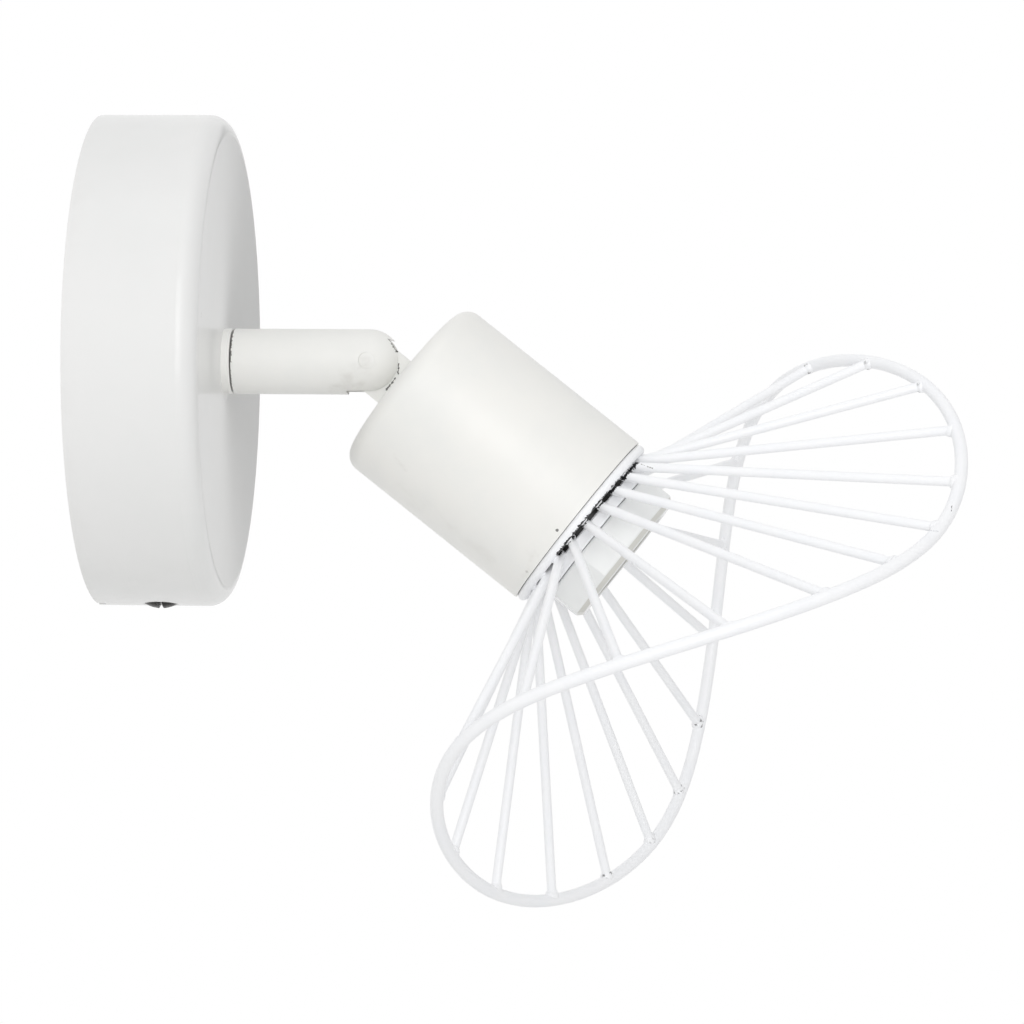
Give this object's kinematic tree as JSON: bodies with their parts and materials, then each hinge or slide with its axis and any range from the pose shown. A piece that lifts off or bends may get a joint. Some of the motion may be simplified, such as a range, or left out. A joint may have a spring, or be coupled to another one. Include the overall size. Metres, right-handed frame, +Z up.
{
  "type": "wall spotlight",
  "caption": "Wall spotlight: round canopy, swivelling arm with a tilting knuckle, cup with a small screw lampholder, and a saddle-shaped open shade of straight welded wires.",
  "frame": {"origin": "centre of the wall canopy in the plane of the wall", "axes": "+Z up, +Y into the wall, so the lamp stands out towards -Y; +X to the right from the front"},
  "size_m": [0.1657, 0.2093, 0.1944],
  "materials": {
    "canopy": "satin warm white powder coat",
    "wall_bracket": "zinc plated strip",
    "canopy_side_screws": "dark, raised countersunk",
    "bracket_earth_screw": "brass",
    "earth_ring_tag": "tinned",
    "earth_lead": "green and yellow sheath",
    "terminal_block": "natural polyamide",
    "terminal_sleeves": "brass",
    "terminal_clamp_screws": "zinc plated",
    "terminal_block_screw": "zinc plated",
    "canopy_lead_brown": "brown sheath",
    "canopy_lead_blue": "blue sheath",
    "arm_base_collar": "satin warm white powder coat",
    "swivel_stop_pin": "bright steel",
    "arm": "satin warm white powder coat",
    "hollow_stud": "zinc plated, M10 x 1",
    "stud_nut": "zinc plated",
    "stud_disc_spring": "spring steel",
    "stud_flat_washer": "zinc plated",
    "hinge_pin": "painted over with the arm",
    "arm_lead_brown": "brown sheath",
    "arm_lead_blue": "blue sheath",
    "knuckle_tongue": "satin warm white powder coat",
    "cup_nut": "zinc plated, M8 x 1",
    "cup_tooth_washer": "spring steel",
    "lamp_cup": "satin warm white powder coat",
    "lampholder_cap": "black thermoset",
    "lampholder_skirt": "black thermoset, outer thread",
    "contact_block": "white thermoset",
    "threaded_shell": "nickel plated brass",
    "centre_contact": "spring brass",
    "lampholder_screws": "zinc plated",
    "head_lead_brown": "brown sheath",
    "head_lead_blue": "blue sheath",
    "shade_ring_nut": "white thermoset",
    "shade_washer": "gloss white powder coat",
    "shade_base_ring": "gloss white powder coat",
    "shade_spokes": "gloss white powder coat",
    "shade_rim": "gloss white powder coat"
  },
  "bodies": {
    "canopy_base": {"canopy": "canopy", "wall_bracket": "wall_bracket", "canopy_side_screws": "canopy_side_screws", "bracket_earth_screw": "bracket_earth_screw", "earth_ring_tag": "earth_ring_tag", "earth_lead": "earth_lead", "terminal_block": "terminal_block", "terminal_sleeves": "terminal_sleeves", "terminal_clamp_screws": "terminal_clamp_screws", "terminal_block_screw": "terminal_block_screw", "canopy_lead_brown": "canopy_lead_brown", "canopy_lead_blue": "canopy_lead_blue", "arm_base_collar": "arm_base_collar", "swivel_stop_pin": "swivel_stop_pin"},
    "swivel_arm": {"arm": "arm", "hollow_stud": "hollow_stud", "stud_nut": "stud_nut", "stud_disc_spring": "stud_disc_spring", "stud_flat_washer": "stud_flat_washer", "hinge_pin": "hinge_pin", "arm_lead_brown": "arm_lead_brown", "arm_lead_blue": "arm_lead_blue"},
    "lamp_head": {"knuckle_tongue": "knuckle_tongue", "cup_nut": "cup_nut", "cup_tooth_washer": "cup_tooth_washer", "lamp_cup": "lamp_cup", "lampholder_cap": "lampholder_cap", "lampholder_skirt": "lampholder_skirt", "contact_block": "contact_block", "threaded_shell": "threaded_shell", "centre_contact": "centre_contact", "lampholder_screws": "lampholder_screws", "head_lead_brown": "head_lead_brown", "head_lead_blue": "head_lead_blue", "shade_ring_nut": "shade_ring_nut", "shade_washer": "shade_washer", "shade_base_ring": "shade_base_ring", "shade_spokes": "shade_spokes", "shade_rim": "shade_rim"}
  },
  "joints": [
    {"name": "arm_swivel", "type": "hinge", "parent": "canopy_base", "child": "swivel_arm", "pos_m": [0, -0.0319, 0], "axis": [0, 1, 0], "range_deg": [-165, 165]},
    {"name": "head_tilt", "type": "hinge", "parent": "swivel_arm", "child": "lamp_head", "pos_m": [0, -0.0652, 0], "axis": [1, 0, 0], "range_deg": [-20, 40]}
  ]
}
